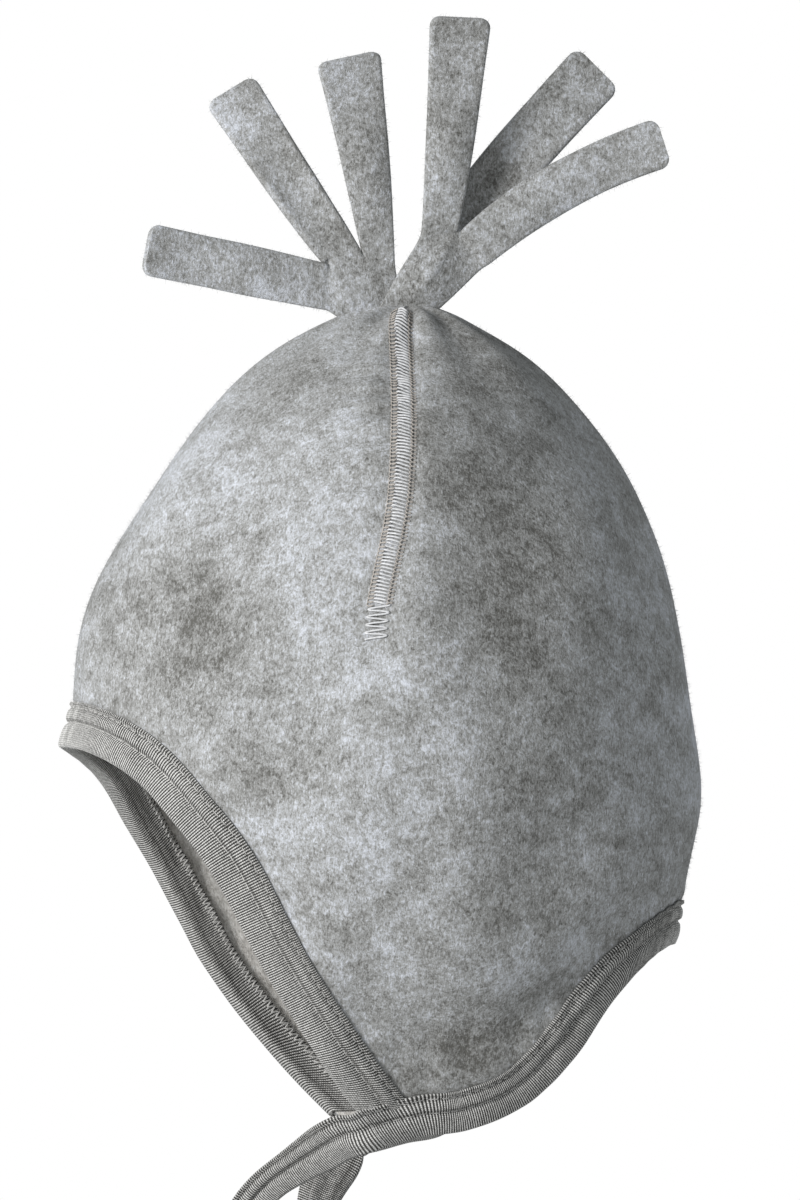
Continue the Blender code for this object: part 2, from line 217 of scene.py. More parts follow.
def plainPlace(bearing, drop):
    turn = np.radians(bearing)
    full = fullness(drop)
    crease = 1 + form["crease"] * (1 - smoothStep(drop / form["dartEnd"]))
    tuck = form["backTuck"] * smoothStep((drop - form["tuckStart"]) / form["tuckSpan"])
    length = form["halfLength"] * full - np.where(np.cos(turn) < 0, tuck, 0.0)
    pinch = form["flapPinch"] * np.maximum(drop - form["pinchStart"], 0) ** 2 / form["pinchSpan"] ** 2
    width = form["halfWidth"] * full * (1 - pinch)
    along = np.sign(np.cos(turn)) * np.abs(np.cos(turn)) ** crease
    centre = form["pointSetBack"] - form["lean"] * full ** form["leanPower"]
    return np.stack([width * np.sin(turn), centre - length * along, form["fleece"] - drop + 0 * turn], -1)


def unit(vectors):
    return vectors / np.maximum(np.linalg.norm(vectors, axis=-1, keepdims=True), 1e-12)


def clothAxes(bearing, drop):
    # The ways across and down the cloth, per degree and per metre, and out of it
    turn, fall = probe["turn"], probe["drop"]
    across = (plainPlace(bearing + turn, drop) - plainPlace(bearing - turn, drop)) / (2 * turn)
    above = plainPlace(bearing, np.maximum(drop - fall, 0))
    down = (plainPlace(bearing, drop + fall) - above) / (2 * fall)
    return across, down, unit(np.cross(down, across))


def dartBearing(drop):
    forward = form["dartTopTurn"] * np.exp(-drop / form["dartTopSpan"])
    bend = smoothStep((drop - form["dartBendStart"]) / (form["dartEnd"] - form["dartBendStart"]))
    return form["dartBearing"] - forward - form["dartBend"] * bend


easeWaves = np.random.default_rng(ease["seed"])
waveTurns = unit(easeWaves.normal(size=(ease["waves"], 3)))
waveLengths = easeWaves.uniform(ease["shortest"], ease["longest"], ease["waves"])
waveStarts = easeWaves.uniform(0, 2 * math.pi, ease["waves"])


def strayOut(bearing, drop, place):
    # Soft waves all over
    stray = np.zeros(place.shape[:-1])
    for turn, length, start in zip(waveTurns, waveLengths, waveStarts):
        stray += ease["wave"] * np.sin(place @ turn * 2 * math.pi / length + start)
    size, turn = np.abs(bearing), np.radians(bearing)
    radius = np.hypot(place[..., 0], place[..., 1])
    # The valley along each dart, and the puckers beside it
    aside = (size - dartBearing(drop)) * math.pi / 180 * radius
    inDart = 1 - smoothStep((drop - form["dartEnd"] + ease["dartLead"]) / ease["dartFade"])
    stray -= ease["dartDepth"] * bell(aside, 0, ease["dartReach"]) * inDart
    wobble = ease["wobble"] * np.sin(drop * ease["wobblePace"] + np.sign(bearing))
    lag = np.where(aside > 0, ease["puckerLag"], 0)
    ripple = np.sin(2 * math.pi * drop / ease["puckerPitch"] + wobble + lag)
    stray += ease["pucker"] * ripple * bell(np.abs(aside), ease["puckerFrom"], ease["puckerReach"]) * inDart
    # The fold down each side
    foldBearing = ease["foldTop"] + ease["foldTurn"] * ramp(drop, *ease["foldTurnSpan"])
    fromFold = (size - foldBearing) * math.pi / 180 * radius
    crest = np.exp(-np.sqrt(fromFold**2 + ease["foldRound"] ** 2) / ease["foldReach"])
    kept = 1 - ease["foldLoss"] * ramp(drop, *ease["foldLossSpan"])
    stray += ease["fold"] * crest * ramp(drop, *ease["foldGrowSpan"]) * kept
    # The lower edge: the dip above the neck binding, the cloth drawn in, the flare at the brow, and puckers
    fromEdge = edgeDrop(bearing) - drop
    atNeck = ramp(size, *ease["neckSpan"])
    dip = atNeck * (1 - ease["edgeDipLoss"] * ramp(size, *ease["edgeDipLossSpan"]))
    stray -= ease["edgeDip"] * dip * bell(fromEdge, ease["edgeDipAt"], ease["edgeDipReach"])
    drawn = ease["drawnFace"] + (1 - ease["drawnFace"]) * atNeck
    stray -= ease["drawnIn"] * drawn * smoothStep((ease["drawnAt"] - fromEdge) / ease["drawnRun"])
    flared = np.clip(1 - fromEdge / ease["flareRun"], 0, 1) ** 2
    stray += ease["flare"] * flared * smoothStep((ease["flareEnd"] - size) / ease["flareFade"])
    ripple = np.sin(ease["edgePuckers"] * turn + ease["edgeDrift"] * np.sin(ease["edgeDrifts"] * turn))
    stray += ease["edgePucker"] * ripple * bell(fromEdge, ease["edgePuckerAt"], ease["edgeReach"])
    # The gathers at the point
    gathers = np.sin(turn * ease["gatherFolds"] + ease["gatherTurn"])
    atPoint = bell(drop, ease["gatherAt"], ease["gatherReach"])
    stray += ease["gather"] * gathers * atPoint * smoothStep(drop / ease["gatherStart"])
    return stray


def flapSway(bearing, drop):
    # How far the flaps' tips are moved up and back, and the back's edge up
    size = np.abs(bearing)
    near = bell(size, ease["flapBearing"], ease["flapReach"]) * (1 - ramp(size, *ease["flapEndSpan"]))
    low, tip = ramp(drop, *ease["swaySpan"]), ramp(drop, *ease["swingSpan"])
    up = np.where(bearing > 0, ease["swayNear"], ease["swayFar"]) * near * low
    back = np.where(bearing > 0, 0.0, ease["swingFar"]) * near * tip
    up = up + ease["swayBack"] * ramp(size, *ease["swayBackSpan"]) * ramp(drop, *ease["swayBackDropSpan"])
    return np.stack([0 * up, back, up], -1)


def clothPlace(bearing, drop, out=0.0):
    place = plainPlace(bearing, drop)
    normal = clothAxes(bearing, drop)[2]
    place = place + normal * (strayOut(bearing, drop, place) + out)[..., None]
    return place + flapSway(bearing, drop)


def stepOnCloth(bearing, drop, shift):
    # Where a small step along the cloth ends
    across, down, _ = clothAxes(bearing, drop)
    a, b, c = (across * across).sum(-1), (across * down).sum(-1), (down * down).sum(-1)
    p, q = (shift * across).sum(-1), (shift * down).sum(-1)
    scale = a * c - b * b
    return bearing + (p * c - q * b) / scale, drop + (q * a - p * b) / scale


# Making meshes
def deselectAll():
    if bpy.context.object and bpy.context.object.mode != "OBJECT":
        bpy.ops.object.mode_set(mode="OBJECT")
    bpy.ops.object.select_all(action="DESELECT")


def shapedGrid(name, columns, rows, place, closed=False, patternPlace=None):
    # A grid primitive whose corners go to place(column, row);
    # patternPlace(column, row) is where they lie on its pattern
    deselectAll()
    bpy.ops.mesh.primitive_grid_add(x_subdivisions=columns, y_subdivisions=rows, size=2)
    piece = bpy.context.object
    piece.name = name
    piece.data.name = name
    flat = np.empty(len(piece.data.vertices) * 3)
    piece.data.vertices.foreach_get("co", flat)
    flat = flat.reshape(-1, 3)
    column = np.rint((flat[:, 0] + 1) / 2 * columns).astype(int)
    row = np.rint((flat[:, 1] + 1) / 2 * rows).astype(int)
    placed = place(column, row)
    piece.data.vertices.foreach_set("co", placed.ravel())
    if patternPlace is not None:
        corners = np.empty(len(piece.data.loops), dtype=np.int32)
        piece.data.loops.foreach_get("vertex_index", corners)
        pattern = np.stack(patternPlace(column, row), -1)[corners]
        piece.data.uv_layers[0].data.foreach_set("uv", pattern.ravel())
    tidyMesh(piece, fillEnds=closed)
    return piece


def tidyMesh(piece, fillEnds=False):
    deselectAll()
    bpy.context.view_layer.objects.active = piece
    piece.select_set(True)
    bpy.ops.object.mode_set(mode="EDIT")
    bpy.ops.mesh.select_all(action="SELECT")
    bpy.ops.mesh.remove_doubles(threshold=1e-6)
    if fillEnds:
        bpy.ops.mesh.fill_holes(sides=0)
    bpy.ops.mesh.normals_make_consistent(inside=False)
    bpy.ops.object.mode_set(mode="OBJECT")
    bpy.ops.object.shade_smooth()


def applyModifier(piece, kind, **settings):
    deselectAll()
    bpy.context.view_layer.objects.active = piece
    piece.select_set(True)
    modifier = piece.modifiers.new(kind.lower(), kind)
    for key, value in settings.items():
        setattr(modifier, key, value)
    bpy.ops.object.modifier_apply(modifier=modifier.name)


def settle(piece, material, slotName, *nodes):
    if material:
        piece.data.materials.clear()
        piece.data.materials.append(material)
    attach(piece, "root")
    if nodes:
        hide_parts(*nodes)
    print(piece.name, len(piece.data.polygons), "faces")


# Materials
class Sock:
    # A socket in an expression: operators add the Math nodes
    def __init__(self, tree, socket):
        self.tree = tree
        self.socket = socket

    def mathNode(self, operation, *values):
        return self.tree.node("ShaderNodeMath", {"operation": operation}, dict(enumerate(values)))

    def __add__(self, other):
        return self.mathNode("ADD", self, other)

    def __radd__(self, other):
        return self.mathNode("ADD", other, self)

    def __sub__(self, other):
        return self.mathNode("SUBTRACT", self, other)

    def __rsub__(self, other):
        return self.mathNode("SUBTRACT", other, self)

    def __mul__(self, other):
        return self.mathNode("MULTIPLY", self, other)

    def __rmul__(self, other):
        return self.mathNode("MULTIPLY", other, self)

    def __pow__(self, other):
        return self.mathNode("POWER", self, other)

    def __rpow__(self, other):
        return self.mathNode("POWER", other, self)

    def sine(self):
        return self.mathNode("SINE", self)

    def output(self, number):
        # Another output of the same node
        return Sock(self.tree, self.socket.node.outputs[number])


class Finish:
    # A material under construction
    def __init__(self, name):
        self.material = bpy.data.materials.new(name)
        self.material.use_nodes = True
        self.nodes = self.material.node_tree.nodes
        self.shader = self.nodes["Principled BSDF"]

    def node(self, kind, settings=None, values=None, out=0):
        made = self.nodes.new(kind)
        for key, value in (settings or {}).items():
            if key == "stops":
                self.setStops(made.color_ramp, value)
            else:
                setattr(made, key, value)
        for key, value in (values or {}).items():
            self.feed(made.inputs[key], value)
        return Sock(self, made.outputs[out])

    def setStops(self, ramp, stops):
        while len(ramp.elements) < len(stops):
            ramp.elements.new(0.5)
        for element, (place, colour) in zip(ramp.elements, stops):
            element.position = place
            element.color = (*colour, 1)

    def feed(self, target, value):
        if isinstance(value, Sock):
            self.material.node_tree.links.new(value.socket, target)
        else:
            target.default_value = value

    def spot(self, coordinates="Object"):
        return self.node("ShaderNodeTexCoord", out=coordinates)

    def noise(self, at, scale, detail, rough, stretch=None, turn=(0, 0, 0), warp=0.0):
        if stretch or any(turn):
            values = {"Vector": at, "Rotation": turn, "Scale": stretch or (1, 1, 1)}
            at = self.node("ShaderNodeMapping", None, values)
        values = {"Vector": at, "Scale": scale, "Detail": detail, "Roughness": rough, "Distortion": warp}
        return self.node("ShaderNodeTexNoise", None, values)

    def bump(self, height, depth, strength):
        values = {"Height": height, "Distance": depth, "Strength": strength}
        return self.node("ShaderNodeBump", None, values)

    def finish(self, colour, normal=None, roughness=0.9, sheen=0.0, sheenRoughness=0.5):
        self.feed(self.shader.inputs["Base Color"], colour)
        even = {"Roughness": roughness, "Sheen Weight": sheen, "Sheen Roughness": sheenRoughness,
                "Sheen Tint": (1, 1, 1, 1), "Specular IOR Level": 0.2}
        for key, value in even.items():
            self.shader.inputs[key].default_value = value
        if normal is not None:
            self.feed(self.shader.inputs["Normal"], normal)
        return self.material


wool = {
    # Dark, middle and pale fibres
    "fleece": ((0.105, 0.102, 0.093), (0.318, 0.318, 0.312), (0.60, 0.62, 0.67)),
    # The crown's inside face: the same fleece painted paler, as painted light on the inside
    "lining": ((0.24, 0.225, 0.205), (0.56, 0.54, 0.51), (0.86, 0.85, 0.83)),
    # Broad paler and darker patches at set places: back, up, reach back, reach up (metres), share. The
    # first is a dark melange patch low on the front; the rest are painted light and shade
    # Painted light where the lamp falls on the front's left, its lit middle, its lower middle and the
    # shaded back; painted shade behind the dart and above the neck binding
    "melangePatchAndPaintedLight": ((-0.0610, -0.0860, 0.015, 0.022, -0.40), (-0.0300, -0.0780, 0.018, 0.026, 0.08),
               (0.0190, -0.0600, 0.026, 0.080, -0.22), (0.0125, -0.1900, 0.024, 0.014, -0.40),
               (-0.0160, -0.1300, 0.020, 0.034, 0.10), (0.0600, -0.1050, 0.022, 0.060, 0.12),
               (-0.0560, -0.0500, 0.026, 0.028, 0.16)),
}


def fleeceFinish(name, dark, middle, pale):
    # Brushed grey melange: soft clouds of light and dark wool under a fine tangle of fibres, with broad
    # patches of painted light and shade laid over them at set places
    f = Finish(name)
    at = f.spot()
    cloud = f.noise(at, scale=27, detail=2, rough=0.5, stretch=(1.0, 1.0, 1.25), warp=0.3)
    blotch = f.noise(at, scale=100, detail=3, rough=0.6, stretch=(1.0, 1.0, 1.3), warp=0.5)
    mottle = f.noise(at, scale=380, detail=2, rough=0.6, warp=0.7)
    fleck = f.noise(at, scale=1500, detail=2, rough=0.7, warp=1.0)
    fibres = {"scale": 3000, "detail": 1, "rough": 0.6, "warp": 0.8}
    fibreA = f.noise(at, stretch=(1.0, 0.3, 0.3), turn=(0.3, 0.5, 0.2), **fibres)
    fibreB = f.noise(at, stretch=(0.3, 1.0, 0.3), turn=(0.9, 0.2, 1.1), **fibres)
    tone = (cloud - 0.5) * 0.75
    for layer, share in ((blotch, 0.80), (mottle, 0.70), (fleck, 0.95), (fibreA, 0.80), (fibreB, 0.80)):
        tone = tone + (layer - 0.5) * share
    # Painted light and shade: paler and darker patches at set places, all but the one dark melange patch
    place = f.node("ShaderNodeSeparateXYZ", None, {0: at})
    for back, up, reachBack, reachUp, share in wool["melangePatchAndPaintedLight"]:
        aside = (place.output(1) - back) * (1 / reachBack)
        above = (place.output(2) - up) * (1 / reachUp)
        tone = tone + (aside * aside + above * above + 1.0) ** -2.0 * share
    stops = [(0.0, dark), (0.5, middle), (1.0, pale)]
    grey = f.node("ShaderNodeValToRGB", {"stops": stops}, {0: tone + 0.5})
    height = fleck * 0.5 + fibreA * 0.3 + fibreB * 0.3 + mottle * 0.8
    normal = f.bump(height, depth=0.0007, strength=0.5)
    return f.finish(grey, normal, roughness=0.95, sheen=0.2, sheenRoughness=0.45)


def knitFinish(name):
    # Fine rib: the pattern runs along the band in metres, so a rib and its loops keep their size
    f = Finish(name)
    pattern = f.node("ShaderNodeSeparateXYZ", None, {0: f.spot("UV")})
    across = pattern.output(1)
    at = f.spot()
    wander = f.noise(at, scale=420, detail=2, rough=0.6) - 0.5
    beat = pattern * (2 * math.pi / knit["ribPitch"]) + wander * knit["ribWander"]
    rib = beat.sine() * 0.5 + 0.5
    beat = across * (2 * math.pi / knit["loopPitch"]) + rib * knit["loopLag"] + wander * knit["loopWander"]
    loop = beat.sine() * 0.5 + 0.5
    melange = f.noise(at, scale=1500, detail=3, rough=0.7, warp=0.6)
    blotch = f.noise(at, scale=110, detail=3, rough=0.6)
    tone = rib * knit["ribTone"] + loop * rib * knit["loopTone"] + (melange - 0.5) * knit["melangeTone"]
    tone = tone + (blotch - 0.5) * knit["blotchTone"] - knit["toneLess"]
    # Painted shade darkens the grooves under the lip and along the stitch channels
    for place, reach, share in knit["paintedGrooveShade"]:
        aside = (across - place) * (1 / reach)
        tone = tone - (aside * aside + 1.0) ** -2.0 * share
    stops = [(0.0, (0.034, 0.033, 0.031)), (0.42, (0.205, 0.200, 0.188)), (1.0, (0.72, 0.71, 0.69))]
    grey = f.node("ShaderNodeValToRGB", {"stops": stops}, {0: tone})
    height = rib * 0.6 + loop * 0.5 + melange * 0.5
    normal = f.bump(height, depth=0.0004, strength=0.7)
    return f.finish(grey, normal, roughness=0.88, sheen=0.12, sheenRoughness=0.4)


threads = {
    "seam": (0.74, 0.74, 0.75),
    "binding": (0.62, 0.61, 0.59),
    "loops": (0.50, 0.46, 0.42),
    "low": 0.62,  # the darkest fibres' share of a thread's own shade
}


def threadFinish(name, shade):
    f = Finish(name)
    at = f.spot()
    fleck = f.noise(at, scale=1400, detail=2, rough=0.6)
    low = [c * threads["low"] for c in shade]
    grey = f.node("ShaderNodeValToRGB", {"stops": [(0.25, low), (0.75, shade)]}, {0: fleck})
    twist = f.noise(at, scale=2600, detail=1, rough=0.5, stretch=(1, 1, 0.3))
    normal = f.bump(twist, depth=0.0001, strength=0.5)
    return f.finish(grey, normal, roughness=0.62, sheen=0.15, sheenRoughness=0.3)


knit = {
    "ribPitch": 0.00064,
    "loopPitch": 0.00055,
    "ribWander": 1.6,
    "loopWander": 5,
    "loopLag": 2.4,
    "ribTone": 0.90,
    "loopTone": 0.45,
    "melangeTone": 1.35,
    "blotchTone": 0.3,
    "toneLess": 0.13,
    "samplesPerRib": 3,
    "layer": 0.0010,
    "gap": 0.0003,
    "band": 0.0110,
    "bandInside": 0.0078,
    "rib": 0.00017,
    "lip": 0.00030,
    # Painted shade along the binding, under its lip, in its two stitch channels and in the inside channel:
    # (place and reach in metres from its outer lip, share)
    "paintedGrooveShade": ((0.0007, 0.00030, 0.30), (0.0019, 0.00045, 0.40), (0.0056, 0.00075, 0.38),
               (0.0199, 0.00080, 0.30)),
    # Places and reaches over the section are shares of the outer or inner half's width, from the fold
    "outerSteps": 15,
    "innerSteps": 9,
    "foldTurns": (22, 50, 90, 130, 158),
    "foldRound": 0.9,
    "lipAt": 0.965,
    "lipReach": 0.035,
    "lipThin": 0.65,
    "lipThinSpan": (0.87, 0.13),
    "stitchRows": (0.855, 0.50),
    "channel": 0.00080,
    "channelReach": 0.045,
    "insideChannel": 0.00050,
    "insideChannelAt": 0.55,
    "insideChannelReach": 0.11,
    "roll": 0.00035,
    "rollTop": 0.47,
    "upperRoll": 0.8,  # the share of the roll between the stitch rows
    "upperRollAt": 0.665,
    "upperRollReach": 0.12,
    "lift": 0.0010,  # how far the neck binding's ends stand over the face binding's
    "tuckRun": 0.009,
    "tuckAt": 0.66,
    "tuckShare": 0.20,
    "tuckLeast": 0.35,
    "tuckDepth": 0.0011,
    "tuckRoll": 0.0006,
    "tuckRollAt": 0.24,
    "tuckRollReach": 0.17,
}
fleece = fleeceFinish("fleece", *wool["fleece"])
# The inside face's paler copy of the fleece is painted light
lining = fleeceFinish("lining", *wool["lining"])
rib = knitFinish("binding_knit")
paleThread = threadFinish("seam_thread", threads["seam"])
bandThread = threadFinish("binding_thread", threads["binding"])
darkThread = threadFinish("loop_thread", threads["loops"])
print("finishes ready")

# Crown
crown = {"faceColumns": 66, "neckColumns": 60, "rows": 118, "faceSpacing": 0.85, "rowPower": 1.25}


def columnBearing(column):
    size = np.abs(column)
    faceShare = np.minimum(size, crown["faceColumns"]) / crown["faceColumns"]
    face = form["corner"] * faceShare ** crown["faceSpacing"]
    neck = (180 - form["corner"]) * np.maximum(size - crown["faceColumns"], 0) / crown["neckColumns"]
    return np.sign(column) * (face + neck)


def makeCrown():
    half = crown["faceColumns"] + crown["neckColumns"]

    def place(column, row):
        bearing = columnBearing(column - half)
        return clothPlace(bearing, edgeDrop(bearing) * (1 - row / crown["rows"]) ** crown["rowPower"])

    cloth = shapedGrid("crown_cloth", 2 * half, crown["rows"], place)
    cloth.data.materials.append(fleece)
    # The inside face takes the paler copy, painted light
    cloth.data.materials.append(lining)
    applyModifier(cloth, "SOLIDIFY", thickness=form["fleece"], offset=-1, use_even_offset=True,
                  material_offset=1)
    settle(cloth, None, "fleece", "crown")


makeCrown()


# Bindings
def edgeFrame(bearing):
    # The ways along and up from the cloth's edge; the corner isn't crossed
    low, high = bearing - probe["turn"], bearing + probe["turn"]
    for limit in (-form["corner"], form["corner"]):
        crosses = (low < limit) & (limit < high)
        beyond = bearing >= limit
        low = np.where(crosses & beyond, limit, low)
        high = np.where(crosses & ~beyond, limit, high)
    along = unit(plainPlace(high, edgeDrop(high)) - plainPlace(low, edgeDrop(low)))
    normal = clothAxes(bearing, edgeDrop(bearing))[2]
    up = unit(np.cross(along, normal))
    return along, np.where(up[..., 2:] > 0, up, -up)


def bandSection():
    # The folded band, from its outer upper lip down round the fold to its inner lip, then back against
    # the cloth: (out from the cloth's face, up the cloth, share of the ribs' relief), and the run round it
    layer, gap, wall = knit["layer"], knit["gap"], form["fleece"]
    width, inside = knit["band"], knit["bandInside"]
    section = []
    for share in np.linspace(1.0, 0.0, knit["outerSteps"]):
        thin = 1 - knit["lipThin"] * ramp(share, *knit["lipThinSpan"])
        rounded = math.sin(math.pi * min(share / knit["rollTop"], 1.0)) * (share < knit["rollTop"])
        height = layer + knit["roll"] * rounded
        upper = bell(share, knit["upperRollAt"], knit["upperRollReach"])
        height += knit["roll"] * knit["upperRoll"] * upper
        for row in knit["stitchRows"]:
            height -= knit["channel"] * bell(share, row, knit["channelReach"])
        height += knit["lip"] * bell(share, knit["lipAt"], knit["lipReach"])
        section.append((gap + height * thin, share * width, 1.0))
    middle = -wall / 2
    radius = wall / 2 + gap + layer
    for turn in np.radians(knit["foldTurns"]):
        out, up = middle + radius * math.cos(turn), -gap - knit["foldRound"] * layer * math.sin(turn)
        section.append((out, up, 1.0))
    for share in np.linspace(0.0, 1.0, knit["innerSteps"]):
        sunk = knit["insideChannel"] * bell(share, knit["insideChannelAt"], knit["insideChannelReach"])
        section.append((-wall - gap - (layer - sunk), share * inside, 1.0))
    for out, up in ((-wall - gap, inside), (-wall - gap, inside * 0.5), (-wall - gap, -gap * 0.5),
                    (gap, -gap * 0.5), (gap, width * 0.5), (gap, width)):
        section.append((out, up, 0.0))
    return np.array(section), runAlong(np.array(section + section[:1])[:, :2])


sectionShape, sectionRun = bandSection()


def bandPlace(bearing, slant, lift, up, out):
    # A point of a binding: out from the cloth's outer face, up from the cloth's edge, the outer half lifted
    along, upward = edgeFrame(bearing)
    shift = (upward + along * slant[..., None]) * up[..., None]
    outer = out > -form["fleece"] / 2
    bearing, drop = stepOnCloth(bearing, edgeDrop(bearing), shift)
    return clothPlace(bearing, drop, out + lift * outer)


def edgeRun(bearings):
    return runAlong(plainPlace(bearings, edgeDrop(bearings)))


def ribRelief(run, out, relief):
    # How far the ribs stand out there, on the outside and on the inside
    side = np.where(out > -form["fleece"] / 2, 1.0, -1.0)
    return side * relief * knit["rib"] * 0.5 * np.sin(2 * math.pi * run / knit["ribPitch"])


def endTuck(fromEnd, share):
    # Where the neck binding comes off the cloth: a sunken tuck above, and a fuller roll below it
    near = bell(np.maximum(fromEnd, 0), 0, knit["tuckRun"])
    reach = knit["tuckShare"] * (knit["tuckLeast"] + (1 - knit["tuckLeast"]) * near)
    sunk = knit["tuckDepth"] * near * bell(share, knit["tuckAt"], reach)
    full = knit["tuckRoll"] * near * bell(share, knit["tuckRollAt"], knit["tuckRollReach"])
    return full - sunk


def makeBand(name, bearings, slants, lift, tucked=False):
    # Sweeps the section along the cloth's edge; its ribs cross it
    corners = len(sectionShape)
    run = edgeRun(bearings)
    fromEnd = np.minimum(run, run[-1] - run)

    def place(column, row):
        out, up, relief = sectionShape[row % corners].T
        share = up / knit["band"]
        outer = relief * (out > 0)
        more = ribRelief(run[column], out, relief)
        if tucked:
            more = more + endTuck(fromEnd[column], share) * outer
        return bandPlace(bearings[column], slants[column], lift[column], up, out + more)

    def pattern(column, row):
        return run[column], sectionRun[row]

    band = shapedGrid(name, len(bearings) - 1, corners, place, closed=True, patternPlace=pattern)
    settle(band, rib, "binding_knit", name)
    band.name = name + "_knit"


bandEnds = {"step": 0.05, "fade": 14.0, "under": 0.0022, "liftRun": 7.0, "liftLead": 1, "lookBack": 6.0}


def evenBearings(low, high, step):
    # Bearings whose places on the edge lie a step apart
    fineSteps = 6000
    fine = np.linspace(low, high, fineSteps)
    run = edgeRun(fine)
    return np.interp(np.linspace(0, run[-1], int(run[-1] / step) + 1), run, fine)


def faceEdgeDirection(side):
    # The way that the face's edge takes as it meets the corner
    corner = np.array(side * form["corner"])
    near = np.array(side * (form["corner"] - bandEnds["lookBack"]))
    return unit(plainPlace(near, edgeDrop(near)) - plainPlace(corner, edgeDrop(corner)))


def slantTowards(bearing, direction):
    # How far along the edge a direction goes for its way up the cloth
    along, up = edgeFrame(np.asarray(bearing, float))
    return (along * direction).sum(-1) / (up * direction).sum(-1)


def faceBand(step):
    # Bearings, slants and lift of the face binding, whose ends run a little way under the neck binding
    searchFrom, searchStep = 60, 0.02
    fine = np.arange(searchFrom, form["corner"], searchStep)
    end = fine[edgeDrop(fine) < form["faceEdge"][-1][1] - knit["band"] + bandEnds["under"]][-1]
    bearings = evenBearings(-end, end, step)
    level = unit(clothAxes(bearings, edgeDrop(bearings))[0])
    turned = smoothStep((np.abs(bearings) - end) / bandEnds["fade"] + 1)
    slants = np.where(turned > 0, turned * slantTowards(bearings, level), 0.0)
    return bearings, slants, np.zeros(len(bearings))


def neckBand(step):
    # The same for the neck binding, which stands over the face binding where it leaves the cloth as a tie
    start = form["corner"] + bandEnds["step"]
    right = evenBearings(start, 180, step)
    bearings = np.concatenate([right, -right[-2::-1]])
    turned = smoothStep((start - np.abs(bearings)) / bandEnds["fade"] + 1)
    ends = [slantTowards(side * start, faceEdgeDirection(side)) for side in (1, -1)]
    slants = turned * np.where(np.arange(len(bearings)) < len(right), *ends)
    lifted = smoothStep((start + bandEnds["liftLead"] - np.abs(bearings)) / bandEnds["liftRun"] + 1)
    return bearings, slants, knit["lift"] * lifted


ribStep = knit["ribPitch"] / knit["samplesPerRib"]
makeBand("face_binding", *faceBand(ribStep))
makeBand("neck_binding", *neckBand(ribStep), tucked=True)

# Stitching on the bindings
stitching = {
    "pitch": 0.0026,
    "length": 0.0021,
    "radius": 0.00014,
    "proud": 0.00012,
    "dip": 2.2,  # how far the ends of a stitch sink, in radii
    "dipPower": 4,
    "samples": 12,
    "fewest": 3,
    "chainAt": 0.84,  # share of the inner half's width
    "chainWidth": 0.0023,
    "chainPitch": 0.00140,
    "chainRadius": 0.00023,
    "chainSamples": 6,
}


def threadAlong(name, points, radius, material, slotName, sides=6):
    # A thread along a line of points, closed at both ends
    deselectAll()
    bpy.ops.curve.primitive_nurbs_path_add()
    thread = bpy.context.object
    thread.name = name
    thread.data.splines.clear()
    for line in points:
        spline = thread.data.splines.new("POLY")
        spline.points.add(len(line) - 1)
        flat = np.concatenate([line, np.ones((len(line), 1))], axis=1)
        spline.points.foreach_set("co", flat.ravel())
    thread.data.bevel_depth = radius
    thread.data.bevel_resolution = max(sides // 2 - 2, 0)
    thread.data.use_fill_caps = True
    bpy.ops.object.convert(target="MESH")
    thread = bpy.context.object
    tidyMesh(thread)
    settle(thread, material, slotName)
    return thread


def stitchRow(band, tucked, row):
    # Short stitches lying in one channel of a binding's outside
    bearings, slants, lift = band(stitching["pitch"] / stitching["samples"])
    run = edgeRun(bearings)
    lines = []
    outerHalf = sectionShape[:knit["outerSteps"]]
    top = outerHalf[np.argmin(np.abs(outerHalf[:, 1] - row * knit["band"]))][0]
    fromEnd = np.minimum(run, run[-1] - run)
    out = np.full(len(run), top + stitching["proud"])
    if tucked:
        out = out + endTuck(fromEnd, np.full(len(run), row))
    beat = (run % stitching["pitch"]) / stitching["length"]
    sunk = np.clip(np.abs(beat - 0.5) * 2, 0, 1) ** stitching["dipPower"]
    dip = sunk * stitching["radius"] * stitching["dip"]
    places = bandPlace(bearings, slants, lift, np.full(len(run), row * knit["band"]), out - dip)
    for number in range(int(run[-1] / stitching["pitch"])):
        start = number * stitching["pitch"]
        inStitch = (run >= start) & (run <= start + stitching["length"])
        if inStitch.sum() > stitching["fewest"]:
            lines.append(places[inStitch])
    return lines


def chainRow(band):
    # The zigzag of looper thread over the inner half's edge
    bearings, slants, lift = band(stitching["chainPitch"] / stitching["chainSamples"])
    run = edgeRun(bearings)
    phase = run / stitching["chainPitch"]
    swing = 2 * np.abs(2 * (phase - np.floor(phase + 0.5))) - 1
    up = stitching["chainAt"] * knit["bandInside"] + swing * stitching["chainWidth"] / 2
    out = -form["fleece"] - knit["gap"] - knit["layer"] - stitching["proud"] + 0.0 * run
    return [bandPlace(bearings, slants, lift, up, out)]


def makeStitching(name, band, tucked):
    for number, row in enumerate(knit["stitchRows"]):
        threadAlong(f"{name}_stitches_{number + 1}", stitchRow(band, tucked, row), stitching["radius"],
                    bandThread, "seam_thread", 4)
    threadAlong(f"{name}_chain", chainRow(band), stitching["chainRadius"], bandThread, "seam_thread", 6)


makeStitching("face_binding", faceBand, False)
makeStitching("neck_binding", neckBand, True)
print("stitching done")

